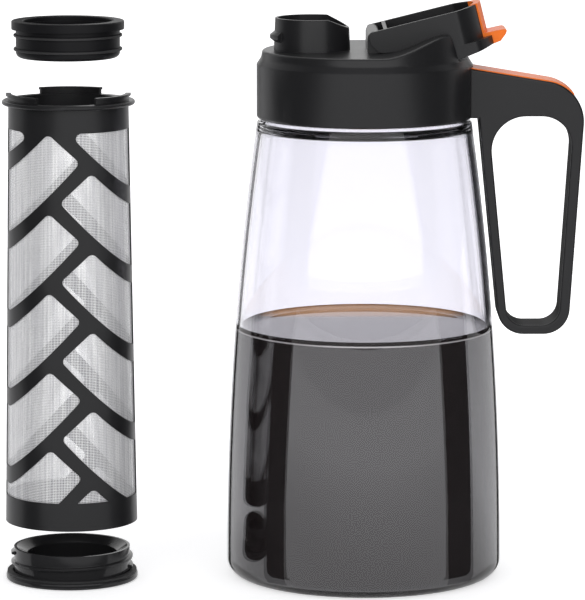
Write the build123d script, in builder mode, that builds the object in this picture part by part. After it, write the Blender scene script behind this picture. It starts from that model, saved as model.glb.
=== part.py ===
"""Cold brew coffee maker: a screw-lid glass carafe with handle and flip spout, and its filter.

Frame: millimetres, +Z up, origin at the middle of the carafe's base. The handle points along +X
and the pouring spout lies on the -X side. The filter stands beside the carafe on the -X side, laid
out for cleaning: the bottom cap stands on the same floor, the tube and the top cap hang above it.
"""

import os
from math import atan, cos, degrees, radians, sin, sqrt, tan

from build123d import *

os.makedirs("parts", exist_ok=True)

# ---- Clearances ------------------------------------------------------------------------------
running_gap = 0.4  # between curved faces that move past each other
hinge_gap = 0.08  # radial, in the flap's pin holes

# ---- Carafe ----------------------------------------------------------------------------------
base_radius = 60.5
base_corner = 7.0
belly_taper = 3.5
belly_radius = base_radius - belly_taper
shoulder_height = 200.8
belly_drop = 95.3
belly_height = shoulder_height - belly_drop
shoulder_rise = 1.8
shoulder_top = shoulder_height + shoulder_rise
glass_wall = 2.4
glass_base = 3.6
neck_radius = 42.0
shoulder_step = 5.0
shoulder_radius = neck_radius + shoulder_step
neck_wall = 3.4
neck_bore = neck_radius - neck_wall
neck_length = 21.9
neck_top = shoulder_top + neck_length
lip_round = 1.0
coffee_level = 112.0

# ---- Lid thread: three starts between the neck and the collar ----------------------------------
lid_starts = 3
lid_lead = 12.0
ridge_depth = 1.6
ridge_root = 2.0
ridge_crest = 1.2
neck_ridge_rise = 10.4
neck_ridge_height = shoulder_top + neck_ridge_rise
neck_ridge_span = 90.0
neck_ridge_azimuth = 40.0
collar_lug_span = 40.0
collar_lug_lag = 30.0

# ---- Collar ----------------------------------------------------------------------------------
collar_bore = neck_radius + ridge_depth + running_gap
collar_wall = 3.2
collar_radius = collar_bore + collar_wall
collar_bottom = shoulder_top + running_gap
gasket_thickness = 2.0
collar_top = neck_top + gasket_thickness
collar_edge = 1.2

# ---- Lid top ---------------------------------------------------------------------------------
deck_rise = 6.2
deck_height = collar_top + deck_rise
deck_thickness = 2.0
ledge_rise = 3.0
ledge_run = 2.0
ledge_round = 3.0
shoulder_slope = 0.15  # how far the shoulder leans in for each millimetre above the ledge
shoulder_block_rise = 8.9
shoulder_block_top = deck_height + shoulder_block_rise
deck_edge_round = 1.2
plug_thickness = 1.7
plug_depth = 6.5
plug_bottom = neck_top - plug_depth
ramp_foot_x = 6.8
ramp_start = 1.0  # how long the ramp stays level at its foot
ramp_finish = 0.7
crest_x = 35.0
crest_rise = 8.3
crest_height = deck_height + crest_rise
crest_bend = 0.6
notch_x = 40.1
notch_run = 0.34
notch_depth = 3.3
notch_floor = deck_height - notch_depth
pocket_x = 37.4  # where the flap's foot drops below the deck
flap_side_gap = 0.45

# ---- Spout -----------------------------------------------------------------------------------
spout_x = -23.0
spout_radius = 16.4
spout_wall = 1.5
spout_flare = 0.3  # how much wider the spout is at the deck
spout_rise = 14.0
spout_top = deck_height + spout_rise
spout_ledge = 1.3
spout_cut_reach = 6.8
spout_cut_x = spout_x + spout_cut_reach
spout_cut_depth = 4.4
spout_cut_low = spout_top - spout_cut_depth
nub_reach = 2.0
nub_drop = 8.1
nub_height = spout_top - nub_drop
nub_root = 4.6
nub_tip = 1.6
nub_round = 0.7
nub_span = 70.0

# ---- Hinge -----------------------------------------------------------------------------------
pin_x = 3.8
pin_rise = 6.5
pin_height = deck_height + pin_rise
pin_radius = 1.0
pin_bore_gap = 0.02
barrel_radius = 3.0
open_tilt = 14.0  # rise of the open flap's rim above level

# ---- Flap (u runs out from the pin along the rim, w is height above the pin while open) -------
flap_half_width = 20.0
flap_wall = 1.6
flap_rim = 2.9
flap_end_centre = 24.0
flap_end_radius = 24.0
flap_corner = 5.0
ear_reach = 2.2
ear_heel_u = 2.7
ear_heel_w = -7.2
ear_chamfer_run = 2.5
ear_chamfer_rise = 0.9
ear_round = 1.6
ear_skin = 0.5  # left outside the blind pin holes
pin_end_gap = 0.2
cross_wall_u = 4.7
head_inner_run = 2.0
pan_slope = 0.15
head_u = 30.6
head_floor_u = 32.8
head_floor_w = -17.8
foot_top_w = -11.8
foot_reach = 3.5
foot_slope = 0.14
head_round = 4.0

# ---- Flap latch ------------------------------------------------------------------------------
latch_half_width = 9.5
latch_raise = 0.6
latch_recess = 0.8
latch_hook = 0.8
latch_hook_depth = 2.0
latch_cap = 0.3
strap_bottom_w = -13.4
tab_top_w = -10.2
tab_reach = 56.8
tab_nose_w = -11.3
tab_under_u = 53.0
tab_bury = 0.6
tab_slope_run = 1.4
tab_slope_fall = 0.3
tab_nose_lean = 1.1
tab_nose_fall = 1.6
tab_edge = 0.5
latch_drop = 0.2

# ---- Flap seal -------------------------------------------------------------------------------
seal_gap = 0.9
seal_entry = 1.5

# ---- Lid gasket and bayonet ring --------------------------------------------------------------
gasket_inset = 0.3
gasket_inner = neck_bore + gasket_inset
gasket_overhang = 1.0
gasket_outer = neck_radius + gasket_overhang
bayonet_inner = 27.6
bayonet_bury = 0.1
bayonet_wall = 5.4
bayonet_outer = bayonet_inner + bayonet_wall
bayonet_height = 11.0
bayonet_ledge = 2.0
bayonet_ledge_height = 1.8
pour_window_height = 7.5
pour_window_width = 20.0

# ---- Handle ----------------------------------------------------------------------------------
handle_depth = 20.5
handle_edge = 1.0
handle_root_bury = 2.7
handle_root_x = collar_radius - handle_root_bury
handle_root_inset = 1.1
handle_root_top = collar_top - handle_root_inset
handle_top_fall = 8.6
handle_corner_height = handle_root_top - handle_top_fall
handle_length = 117.2
handle_bottom = handle_root_top - handle_length
handle_foot_gap = 2.2  # from the glass at mid height to the handle's foot
handle_inner_foot_x = belly_radius + handle_foot_gap
handle_foot_width = 30.1
handle_outer_foot_x = handle_inner_foot_x + handle_foot_width
handle_lean = 7.2
handle_corner_x = handle_outer_foot_x + handle_lean
handle_inner_top_gap = 2.4
handle_inner_top_x = collar_radius + handle_inner_top_gap
handle_root_bottom = collar_bottom + running_gap
handle_corner_round = 18.0
handle_foot_round = 11.5
grip_top_gap = 0.8
grip_top = handle_root_bottom + grip_top_gap
grip_foot_wall = 4.0
grip_bottom = handle_bottom + grip_foot_wall
grip_left_wall = 4.2
grip_left_top_x = handle_inner_top_x + grip_left_wall
grip_right_wall = 5.5
grip_right_top_x = handle_corner_x - grip_right_wall
grip_left_foot_wall = 3.6
grip_left_bottom_x = handle_inner_foot_x + grip_left_foot_wall
grip_right_foot_wall = 4.3
grip_right_bottom_x = handle_outer_foot_x - grip_right_foot_wall
grip_left_round = 15.0
grip_right_round = 13.0
grip_foot_round = 8.0

# ---- Handle strip and screws -------------------------------------------------------------------
strip_raise = 0.4
strip_recess = 0.8
strip_inset = 0.7
strip_end_turn = 50.0
strip_end_flat = 4.0
strip_cut_fall = 7.6
screw_margin = 5.6
screw_spacing = 11.8
screw_heights = (collar_bottom + screw_margin, collar_bottom + screw_margin + screw_spacing)
screw_length = 12.0
screw_radius = 1.5
screw_head_radius = 2.8
screw_head_depth = 1.6

# ---- Filter ----------------------------------------------------------------------------------
filter_x = -129.0
filter_y = -10.0
tube_bottom = 26.2
tube_length = 185.7
tube_top = tube_bottom + tube_length
tube_top_radius = 26.15
tube_bottom_radius = 28.95
frame_wall = 1.2
flange_reach = 2.8
flange_radius = tube_top_radius + flange_reach
flange_thickness = 1.9
top_bore = 24.0
top_band = 12.0
top_band_bottom = tube_top - top_band
bottom_band = 12.2
bottom_band_top = tube_bottom + bottom_band
bottom_wall = 1.8
bottom_bore = tube_bottom_radius - bottom_wall
tab_count = 3
tab_first_azimuth = 90.0
tab_span = 62.0
tab_wall = 2.4
tab_wall_outer = top_bore + tab_wall
tab_lip_reach = 0.8
tab_lip_outer = tab_wall_outer + tab_lip_reach
tab_lip_thickness = 1.0
tab_height = 3.0
tab_gap_angle = 2.0
flange_round = 0.8
mesh_thickness = 0.6
mesh_overlap = 4.0

# ---- Filter windows (seen from the front, x is measured from the middle line) -------------------------------
window_pitch = 34.4
window_first_drop = 24.8
window_first_height = tube_top - window_first_drop
window_middle_x = 1.5  # the two columns are mirrored about this line
window_inner_x = 4.5
window_peak_x = -9.3
window_peak_rise = 12.6
window_side_x = -27.5
window_upper_fall = 5.2
window_lower_fall = 32.1
window_bow = 0.5
window_round = 2.4
window_rows = 5
side_rib_half = 2.5  # half width of the plain ribs that join the window columns

# ---- Filter top cap --------------------------------------------------------------------------
top_cap_lift = 18.5  # how far the plug is held above the tube
top_cap_bottom = tube_top + top_cap_lift
top_cap_body = 12.4
top_cap_rim_height = top_cap_bottom + top_cap_body
top_cap_rim = 3.7
top_cap_top = top_cap_rim_height + top_cap_rim
top_cap_play = 1.4
top_cap_radius = top_bore - top_cap_play
top_cap_rim_reach = 1.9
top_cap_rim_radius = top_cap_radius + top_cap_rim_reach
top_cap_wall = 4.1
top_cap_recess_radius = top_cap_radius - top_cap_wall
top_cap_step_wall = 3.2
top_cap_step_radius = top_cap_radius - top_cap_step_wall
top_cap_step_depth = 2.0
top_cap_floor = 2.2
top_cap_corner = 2.4
top_cap_edge = 0.6
lip_rise = 3.7
lip_spacing = 6.0
lip_heights = (top_cap_bottom + lip_rise, top_cap_bottom + lip_rise + lip_spacing)
lip_reach = 1.0
lip_radius = top_cap_radius + lip_reach
lip_thickness = 1.1
lip_seat = 0.9
lip_edge = 0.4

# ---- Filter bottom cap -------------------------------------------------------------------------
cap_flange_reach = 1.85
cap_flange_radius = bottom_bore + cap_flange_reach
cap_flange_thickness = 2.7
cap_flange_edge = 0.9
cap_play = 1.6
cap_radius = bottom_bore - cap_play
cap_top = 14.2
cap_cone_run = 5.9
cap_cone_radius = cap_radius - cap_cone_run
cap_cone_fall = 3.0
cap_cone_height = cap_top - cap_cone_fall
cap_floor = 2.6
cap_rim_wall = 1.2
cap_pitch = 4.15
cap_ridge_depth = 1.3
cap_ridge_root = 1.9
cap_ridge_crest = 0.9
cap_ridge_height = 9.5  # height of the thread's crest at azimuth 0
cap_ridge_first = -368.0
cap_ridge_last = 192.0
tube_ridge_depth = 1.0
tube_ridge_rise = 2.8
tube_ridge_first_height = tube_bottom + tube_ridge_rise
tube_ridge_turns = 1.2
cap_seal_thickness = 1.0
cap_seal_inset = 0.5
cap_seal_inner = cap_radius + cap_seal_inset
cap_seal_outer = cap_flange_radius - cap_seal_inset


def cone_radius(height):
    """Outer radius of the lid's leaning shoulder at a height above its ledge."""
    return collar_radius - ledge_run - shoulder_slope * (height - collar_top - ledge_rise)


def tube_radius(height):
    """Outer radius of the tapered filter tube at a height."""
    share = (height - tube_bottom) / (tube_top - tube_bottom)
    return tube_bottom_radius + share * (tube_top_radius - tube_bottom_radius)


def flap_plan(w):
    """Plane parallel to the open flap's rim, w above the pin: its axes are u and Y."""
    tilt = radians(open_tilt)
    origin = (pin_x - w * sin(tilt), 0, pin_height + w * cos(tilt))
    return Plane(origin=origin, x_dir=(cos(tilt), 0, sin(tilt)), z_dir=(-sin(tilt), 0, cos(tilt)))


def flap_side():
    """Upright plane through the open flap's middle: its axes are u and w."""
    tilt = radians(open_tilt)
    return Plane(origin=(pin_x, 0, pin_height), x_dir=(cos(tilt), 0, sin(tilt)), z_dir=(0, -1, 0))


def pan_floor(u, wall):
    """Height w of the shallow pan's floor at a distance u, a wall thickness above its outside."""
    return ear_heel_w - pan_slope * (u - ear_heel_u) + wall


def foot_floor(u, wall):
    """Height w of the deep end's sloping floor at a distance u, a wall thickness above its outside."""
    return head_floor_w + foot_slope * (u - head_floor_u) + wall


def ridge(radius, depth, root, crest, lead, first, span, height):
    """A right-hand thread ridge on a radius: depth is outward, or inward where it is negative.

    Its middle passes azimuth 0 at the height given, starts at azimuth first and runs on for span.
    """
    bury = -0.3 if depth > 0 else 0.3
    with BuildPart() as made:
        with BuildLine() as path:
            Helix(pitch=lead, height=lead * span / 360, radius=radius)
        start = Plane(origin=path.line @ 0, x_dir=(1, 0, 0), z_dir=path.line % 0)
        with BuildSketch(start):
            with BuildLine():
                Polyline(
                    (bury, -root / 2),
                    (depth, -crest / 2),
                    (depth, crest / 2),
                    (bury, root / 2),
                    close=True,
                )
            make_face()
        sweep(path=path.line, is_frenet=True)
    return made.part.rotate(Axis.Z, first).moved(Location((0, 0, height + lead * first / 360)))


# ---- Carafe ----------------------------------------------------------------------------------
with BuildPart() as carafe:
    with BuildSketch(Plane.XZ):
        with BuildLine():
            Line((0, 0), (base_radius - base_corner, 0))
            RadiusArc((base_radius - base_corner, 0), (base_radius, base_corner), -base_corner)
            ThreePointArc(
                (base_radius, base_corner),
                (belly_radius, belly_height),
                (shoulder_radius, shoulder_height),
            )
            Spline(
                (shoulder_radius, shoulder_height),
                (shoulder_radius - 3.2, shoulder_top),
                tangents=((-0.1, 1), (-1, 0)),
            )
            Line((shoulder_radius - 3.2, shoulder_top), (neck_radius, shoulder_top))
            Line((neck_radius, shoulder_top), (neck_radius, neck_top))
            Line((neck_radius, neck_top), (0, neck_top))
            Line((0, neck_top), (0, 0))
        make_face()
    revolve(axis=Axis.Z)
    with BuildSketch(Plane.XZ):
        with BuildLine():
            inner_corner = base_corner - glass_wall
            corner_height = glass_base + inner_corner
            inner_base = base_radius - glass_wall - inner_corner
            Line((0, glass_base), (inner_base, glass_base))
            RadiusArc((inner_base, glass_base), (base_radius - glass_wall, corner_height), -inner_corner)
            ThreePointArc(
                (base_radius - glass_wall, corner_height),
                (belly_radius - glass_wall, belly_height),
                (shoulder_radius - glass_wall, shoulder_height - 3 * glass_wall),
            )
            Spline(
                (shoulder_radius - glass_wall, shoulder_height - 3 * glass_wall),
                (neck_bore, shoulder_top),
                tangents=((-0.1, 1), (0, 1)),
            )
            Line((neck_bore, shoulder_top), (neck_bore, neck_top))
            Line((neck_bore, neck_top), (0, neck_top))
            Line((0, neck_top), (0, glass_base))
        make_face()
    revolve(axis=Axis.Z, mode=Mode.SUBTRACT)
    fillet(carafe.faces().sort_by(Axis.Z)[-1].edges(), lip_round)
    for start in range(lid_starts):
        add(
            ridge(
                neck_radius, ridge_depth, ridge_root, ridge_crest, lid_lead,
                neck_ridge_azimuth, neck_ridge_span,
                neck_ridge_height - lid_lead * neck_ridge_azimuth / 360,
            ),
            rotation=(0, 0, start * 360 / lid_starts),
        )
carafe.part.label = "carafe"
export_step(carafe.part, "parts/carafe.step")

# ---- Coffee ----------------------------------------------------------------------------------
with BuildPart() as coffee:
    with BuildSketch(Plane.XZ):
        with BuildLine():
            Line((0, glass_base), (inner_base, glass_base))
            RadiusArc((inner_base, glass_base), (base_radius - glass_wall, corner_height), -inner_corner)
            ThreePointArc(
                (base_radius - glass_wall, corner_height),
                (belly_radius - glass_wall, belly_height),
                (shoulder_radius - glass_wall, shoulder_height - 3 * glass_wall),
            )
            Line((shoulder_radius - glass_wall, shoulder_height - 3 * glass_wall), (0, shoulder_height))
            Line((0, shoulder_height), (0, glass_base))
        make_face()
    revolve(axis=Axis.Z)
    split(bisect_by=Plane.XY.offset(coffee_level), keep=Keep.BOTTOM)
coffee.part.label = "coffee"
export_step(coffee.part, "parts/coffee.step")

# ---- Lid gasket: a flat ring between the neck's lip and the lid --------------------------------
with BuildPart() as lid_gasket:
    with BuildSketch(Plane.XY.offset(neck_top)):
        Circle(gasket_outer)
        Circle(gasket_inner, mode=Mode.SUBTRACT)
    extrude(amount=collar_top - neck_top)
lid_gasket.part.label = "lid_gasket"
export_step(lid_gasket.part, "parts/lid_gasket.step")


def handle_outline():
    """The handle's outer outline in the XZ plane, with its corners rounded."""
    with BuildSketch(Plane.XZ) as outline:
        with BuildLine():
            Polyline(
                (handle_root_x, handle_root_top),
                (handle_corner_x, handle_corner_height),
                (handle_outer_foot_x, handle_bottom),
                (handle_inner_foot_x, handle_bottom),
                (handle_inner_top_x, handle_root_bottom),
                (handle_root_x, handle_root_bottom),
                close=True,
            )
        make_face()
        low = outline.vertices().group_by(Axis.Y)[0]
        fillet(low, handle_foot_round)
        fillet(outline.vertices().sort_by(Axis.X)[-1], handle_corner_round)
    return outline.sketch_local


def screw_shape(height):
    """A countersunk screw along +X, with its flat head just inside the collar's bore."""
    head_x = collar_bore - running_gap / 2
    with BuildPart() as shape:
        with BuildSketch(Plane(origin=(head_x, 0, height), x_dir=(0, 0, 1), z_dir=(0, 1, 0))):
            with BuildLine():
                Polyline(
                    (0, 0),
                    (screw_head_radius, 0),
                    (screw_radius, screw_head_depth),
                    (screw_radius, screw_length),
                    (0, screw_length),
                    close=True,
                )
            make_face()
        revolve(axis=Axis((head_x, 0, height), (1, 0, 0)))
    return shape.part


# ---- Collar: the threaded ring that grips the neck ---------------------------------------------
with BuildPart() as collar:
    with BuildSketch(Plane.XY.offset(collar_bottom)):
        Circle(collar_radius)
        Circle(collar_bore, mode=Mode.SUBTRACT)
    extrude(amount=collar_top - collar_bottom)
    lug_height = neck_ridge_height - lid_lead / (2 * lid_starts)
    lug_azimuth = neck_ridge_azimuth + collar_lug_lag
    outer_foot = collar.faces().sort_by(Axis.Z)[0].edges().sort_by(Edge.length)[-1]
    fillet(outer_foot, collar_edge)
    for start in range(lid_starts):
        add(
            ridge(
                collar_bore, -ridge_depth, ridge_root, ridge_crest, lid_lead,
                lug_azimuth, collar_lug_span,
                lug_height - lid_lead * neck_ridge_azimuth / 360,
            ),
            rotation=(0, 0, start * 360 / lid_starts),
        )
    for height in screw_heights:
        add(screw_shape(height), mode=Mode.SUBTRACT)
collar.part.label = "collar"
export_step(collar.part, "parts/collar.step")

# ---- Lid top: deck, cradle for the open flap, hinge barrel and spout ----------------------------
with BuildPart() as lid_top:
    with BuildSketch(Plane.XZ) as side:
        with BuildLine():
            Polyline(
                (0, collar_top),
                (collar_radius, collar_top),
                (collar_radius - ledge_run, collar_top + ledge_rise),
                (cone_radius(shoulder_block_top), shoulder_block_top),
                (0, shoulder_block_top),
                close=True,
            )
        make_face()
        ledge_top = collar_top + ledge_rise
        fillet(side.vertices().filter_by_position(Axis.Y, ledge_top - 0.1, ledge_top + 0.1), ledge_round)
    revolve(axis=Axis.Z)
    with BuildSketch(Plane.XZ):
        with BuildLine():
            Line((-base_radius, deck_height), (ramp_foot_x, deck_height))
            Spline(
                (ramp_foot_x, deck_height),
                (crest_x, crest_height),
                tangents=((1, 0), (1, 0)),
                tangent_scalars=(ramp_start, ramp_finish),
            )
            Spline(
                (crest_x, crest_height),
                (notch_x, notch_floor),
                tangents=((1, 0), (notch_run, -1)),
                tangent_scalars=(crest_bend, 1),
            )
            Polyline(
                (notch_x, notch_floor),
                (base_radius, notch_floor),
                (base_radius, spout_top),
                (-base_radius, spout_top),
                (-base_radius, deck_height),
            )
        make_face()
    extrude(amount=base_radius, both=True, mode=Mode.SUBTRACT)
    channel_half = flap_half_width + flap_side_gap
    with BuildSketch(Plane.XZ):
        with BuildLine():
            Polyline(
                (0, deck_height),
                (pocket_x, deck_height),
                (pocket_x, notch_floor),
                (base_radius, notch_floor),
                (base_radius, spout_top),
                (0, spout_top),
                close=True,
            )
        make_face()
    extrude(amount=channel_half, both=True, mode=Mode.SUBTRACT)
    deck = lid_top.faces().filter_by(Axis.Z).sort_by(Face.area)[-2:].sort_by(Axis.Z)[-1]
    rim_edge = deck.edges().filter_by(GeomType.CIRCLE).sort_by(Edge.length)[-1]
    fillet(rim_edge, deck_edge_round)
    with BuildSketch(Plane.XY.offset(collar_top)):
        Circle(neck_bore - running_gap - plug_thickness)
    extrude(amount=deck_height - deck_thickness - collar_top, mode=Mode.SUBTRACT)
    with BuildSketch(Plane.XY.offset(plug_bottom)):
        Circle(neck_bore - running_gap)
        Circle(neck_bore - running_gap - plug_thickness, mode=Mode.SUBTRACT)
    extrude(amount=collar_top - plug_bottom)
    with BuildSketch(Plane.XY.offset(deck_height)):
        with Locations((spout_x, 0)):
            Circle(spout_radius + spout_flare)
    extrude(amount=spout_rise, taper=degrees(atan(2 * spout_flare / spout_rise)))
    with BuildSketch(Plane.XY.offset(deck_height)):
        with Locations((spout_x, 0)):
            Circle(spout_radius - spout_wall)
    extrude(amount=spout_top - deck_height, mode=Mode.SUBTRACT)
    with BuildSketch(Plane.XY.offset(collar_top)):
        with Locations((spout_x, 0)):
            Circle(spout_radius - spout_wall - spout_ledge)
    extrude(amount=spout_top - collar_top, mode=Mode.SUBTRACT)
    with BuildSketch(Plane.XZ):
        with BuildLine():
            cut_fall = spout_top - spout_cut_low
            cut_run = spout_x + spout_radius - spout_cut_x
            Polyline(
                (spout_cut_x, spout_top),
                (spout_cut_x + 1.5 * cut_run, spout_top - 1.5 * cut_fall),
                (spout_cut_x + 1.5 * cut_run, spout_top),
                close=True,
            )
        make_face()
    extrude(amount=spout_radius, both=True, mode=Mode.SUBTRACT)
    nub_start = radians(180 - nub_span / 2)
    nub_plane = Plane(
        origin=(spout_x, 0, 0),
        x_dir=(cos(nub_start), sin(nub_start), 0),
        z_dir=(sin(nub_start), -cos(nub_start), 0),
    )
    with BuildSketch(nub_plane) as nub:
        with BuildLine():
            Polyline(
                (spout_radius - spout_wall / 2, nub_height - nub_root / 2),
                (spout_radius, nub_height - nub_root / 2),
                (spout_radius + nub_reach, nub_height - nub_tip / 2),
                (spout_radius + nub_reach, nub_height + nub_tip / 2),
                (spout_radius, nub_height + nub_root / 2),
                (spout_radius - spout_wall / 2, nub_height + nub_root / 2),
                close=True,
            )
        make_face()
        fillet(nub.vertices().sort_by(Axis.X)[-2:], nub_round)
    revolve(axis=Axis((spout_x, 0, 0), (0, 0, 1)), revolution_arc=nub_span)
    barrel_half = flap_half_width - flap_wall - running_gap / 2
    with BuildSketch(Plane.XZ):
        with Locations((pin_x, (deck_height + pin_height) / 2)):
            Rectangle(2 * barrel_radius, pin_height - deck_height)
        with Locations((pin_x, pin_height)):
            Circle(barrel_radius)
    extrude(amount=barrel_half, both=True)
    with BuildSketch(Plane.XZ):
        with Locations((pin_x, pin_height)):
            Circle(pin_radius + pin_bore_gap)
    extrude(amount=flap_half_width, both=True, mode=Mode.SUBTRACT)
lid_top.part.label = "lid_top"
export_step(lid_top.part, "parts/lid_top.step")

# ---- Flap pin ----------------------------------------------------------------------------------
with BuildPart() as flap_pin:
    with BuildSketch(Plane.XZ):
        with Locations((pin_x, pin_height)):
            Circle(pin_radius)
    extrude(amount=flap_half_width - ear_skin - pin_end_gap, both=True)
flap_pin.part.label = "flap_pin"
export_step(flap_pin.part, "parts/flap_pin.step")

# ---- Bayonet ring: hangs under the deck and holds the filter while it brews ---------------------
with BuildPart() as bayonet_ring:
    ring_top = deck_height - deck_thickness
    gap_half = radians(tab_span / 2 + tab_gap_angle)
    with BuildSketch(Plane.XY.offset(ring_top - bayonet_height)):
        Circle(bayonet_outer)
        Circle(bayonet_inner, mode=Mode.SUBTRACT)
    extrude(amount=bayonet_height)
    with BuildSketch(Plane.XY.offset(ring_top - bayonet_height)):
        Circle(bayonet_inner + bayonet_bury)
        Circle(bayonet_inner - bayonet_ledge, mode=Mode.SUBTRACT)
        for tab in range(tab_count):
            gap_azimuth = tab_first_azimuth + tab * 360 / tab_count
            with PolarLocations(0, 1, start_angle=gap_azimuth):
                Polygon(
                    (0, 0),
                    (bayonet_outer, bayonet_outer * tan(gap_half)),
                    (bayonet_outer, -bayonet_outer * tan(gap_half)),
                    align=None,
                    mode=Mode.SUBTRACT,
                )
    extrude(amount=bayonet_ledge_height)
    with BuildSketch(Plane.YZ):
        with Locations((0, ring_top - pour_window_height / 2)):
            Rectangle(pour_window_width, pour_window_height)
    extrude(amount=-bayonet_outer, mode=Mode.SUBTRACT)
bayonet_ring.part.label = "bayonet_ring"
export_step(bayonet_ring.part, "parts/bayonet_ring.step")

# ---- Flap latch: the orange strap over the flap's end, with its thumb tab ------------------------
with BuildPart() as flap_latch:
    with BuildSketch(flap_plan(strap_bottom_w)):
        with Locations((flap_end_centre, 0)):
            Circle(flap_end_radius + latch_raise)
            Circle(flap_end_radius - latch_recess, mode=Mode.SUBTRACT)
            with Locations((flap_end_radius, 0)):
                Rectangle(2 * flap_end_radius, 2 * latch_half_width, mode=Mode.INTERSECT)
    extrude(amount=flap_rim + latch_cap - strap_bottom_w)
    with BuildSketch(flap_plan(flap_rim - latch_hook_depth)):
        with Locations((flap_end_centre, 0)):
            Circle(flap_end_radius + latch_raise)
            Circle(flap_end_radius - flap_wall - latch_hook, mode=Mode.SUBTRACT)
            with Locations((flap_end_radius, 0)):
                Rectangle(2 * flap_end_radius, 2 * latch_half_width, mode=Mode.INTERSECT)
    extrude(amount=latch_hook_depth + latch_cap)
    with BuildSketch(flap_side()):
        with BuildLine():
            tab_root_u = flap_end_centre + flap_end_radius - latch_recess - tab_bury
            Polyline(
                (tab_root_u, tab_top_w),
                (tab_reach - tab_slope_run, tab_top_w - tab_slope_fall),
                (tab_reach, tab_nose_w),
                (tab_reach - tab_nose_lean, tab_nose_w - tab_nose_fall),
                (tab_under_u, foot_floor(tab_under_u, -latch_drop)),
                (tab_root_u, foot_floor(tab_root_u, -latch_drop)),
                close=True,
            )
        make_face()
    extrude(amount=latch_half_width, both=True)
    fillet(flap_latch.edges().filter_by(Axis.Y).group_by(Axis.X)[-1], tab_edge)
flap_latch.part.label = "flap_latch"
export_step(flap_latch.part, "parts/flap_latch.step")


def flap_footprint(reach, half_width, heel_u, corner):
    """The flap's plan outline: straight sides closed by an arc about the end centre."""
    arc_u = flap_end_centre + sqrt(reach**2 - half_width**2)
    with BuildSketch() as plan:
        with BuildLine():
            Line((heel_u, half_width), (arc_u, half_width))
            ThreePointArc((arc_u, half_width), (flap_end_centre + reach, 0), (arc_u, -half_width))
            Line((arc_u, -half_width), (heel_u, -half_width))
            Line((heel_u, -half_width), (heel_u, half_width))
        make_face()
        fillet(plan.vertices().filter_by_position(Axis.X, arc_u - 0.1, arc_u + 0.1), corner)
    return plan.sketch_local


# ---- Flap cavity: the space inside the flap, cut from it below -----------------------------------
with BuildPart() as flap_cavity:
    with BuildSketch(flap_side()):
        with BuildLine():
            inner_head_u = head_floor_u + flap_wall
            Polyline(
                (cross_wall_u + flap_wall, flap_rim),
                (cross_wall_u + flap_wall, pan_floor(cross_wall_u + flap_wall, flap_wall)),
                (inner_head_u - head_inner_run, pan_floor(inner_head_u - head_inner_run, flap_wall)),
                (inner_head_u, foot_floor(inner_head_u, flap_wall)),
                (tab_reach, foot_floor(tab_reach, flap_wall)),
                (tab_reach, flap_rim),
                close=True,
            )
        make_face()
    extrude(amount=flap_half_width, both=True)
    with BuildSketch(flap_plan(head_floor_w)):
        cavity_half = flap_half_width - flap_wall
        add(flap_footprint(flap_end_radius - flap_wall, cavity_half, 0, flap_corner - flap_wall))
    extrude(amount=flap_rim - head_floor_w, mode=Mode.INTERSECT)

# ---- Flap ----------------------------------------------------------------------------------------
with BuildPart() as flap:
    with BuildSketch(flap_side()) as outline:
        with BuildLine():
            Polyline(
                (-ear_reach, flap_rim),
                (-ear_reach, -ear_reach),
                (ear_heel_u - ear_chamfer_run, ear_heel_w + ear_chamfer_rise),
                (ear_heel_u, ear_heel_w),
                (head_u, pan_floor(head_u, 0)),
                (head_floor_u, head_floor_w),
                (tab_reach, foot_floor(tab_reach, 0)),
                (tab_reach, flap_rim),
                close=True,
            )
        make_face()
        fillet(outline.vertices().filter_by_position(Axis.X, head_u - 0.1, head_u + 0.1), head_round)
    extrude(amount=flap_half_width, both=True)
    with BuildSketch(flap_plan(head_floor_w)):
        add(flap_footprint(flap_end_radius, flap_half_width, -ear_reach, flap_corner))
    extrude(amount=flap_rim - head_floor_w, mode=Mode.INTERSECT)
    with BuildSketch(flap_plan(head_floor_w)):
        add(flap_footprint(flap_end_radius + foot_reach, flap_half_width, head_floor_u, flap_corner))
    extrude(amount=foot_top_w - head_floor_w)
    with BuildSketch(flap_side()):
        with BuildLine():
            Polyline(
                (head_floor_u, head_floor_w),
                (tab_reach, foot_floor(tab_reach, 0)),
                (tab_reach, head_floor_w),
                close=True,
            )
        make_face()
    extrude(amount=flap_half_width, both=True, mode=Mode.SUBTRACT)
    fillet(flap.edges().filter_by(Axis.Y).group_by(Axis.X)[0], ear_round)
    add(flap_cavity.part, mode=Mode.SUBTRACT)
    with BuildSketch(flap_plan(2 * head_floor_w)):
        ear_half = flap_half_width - flap_wall
        with Locations((cross_wall_u - base_radius / 2, 0)):
            Rectangle(base_radius, 2 * ear_half)
    extrude(amount=-4 * head_floor_w, mode=Mode.SUBTRACT)
    with BuildSketch(flap_side()):
        Circle(pin_radius + hinge_gap)
    extrude(amount=flap_half_width - ear_skin, both=True, mode=Mode.SUBTRACT)
    add(flap_latch.part, mode=Mode.SUBTRACT)
flap.part.label = "flap"
export_step(flap.part, "parts/flap.step")

# ---- Flap seal: the silicone plug that closes the spout ------------------------------------------
seal_radius = spout_radius - spout_wall - seal_gap
with BuildPart() as flap_seal:
    spout_top_w = pin_height - spout_top
    with BuildSketch(flap_plan(head_floor_w)):
        with Locations((pin_x - spout_x, 0)):
            Circle(seal_radius)
    extrude(amount=spout_top_w + seal_entry - head_floor_w)
    with BuildSketch(flap_side()):
        with BuildLine():
            Polyline(
                (0, pan_floor(0, flap_wall)),
                (tab_reach, pan_floor(tab_reach, flap_wall)),
                (tab_reach, flap_rim),
                (0, flap_rim),
                close=True,
            )
        make_face()
    extrude(amount=flap_half_width, both=True, mode=Mode.INTERSECT)
flap_seal.part.label = "flap_seal"
export_step(flap_seal.part, "parts/flap_seal.step")

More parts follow.
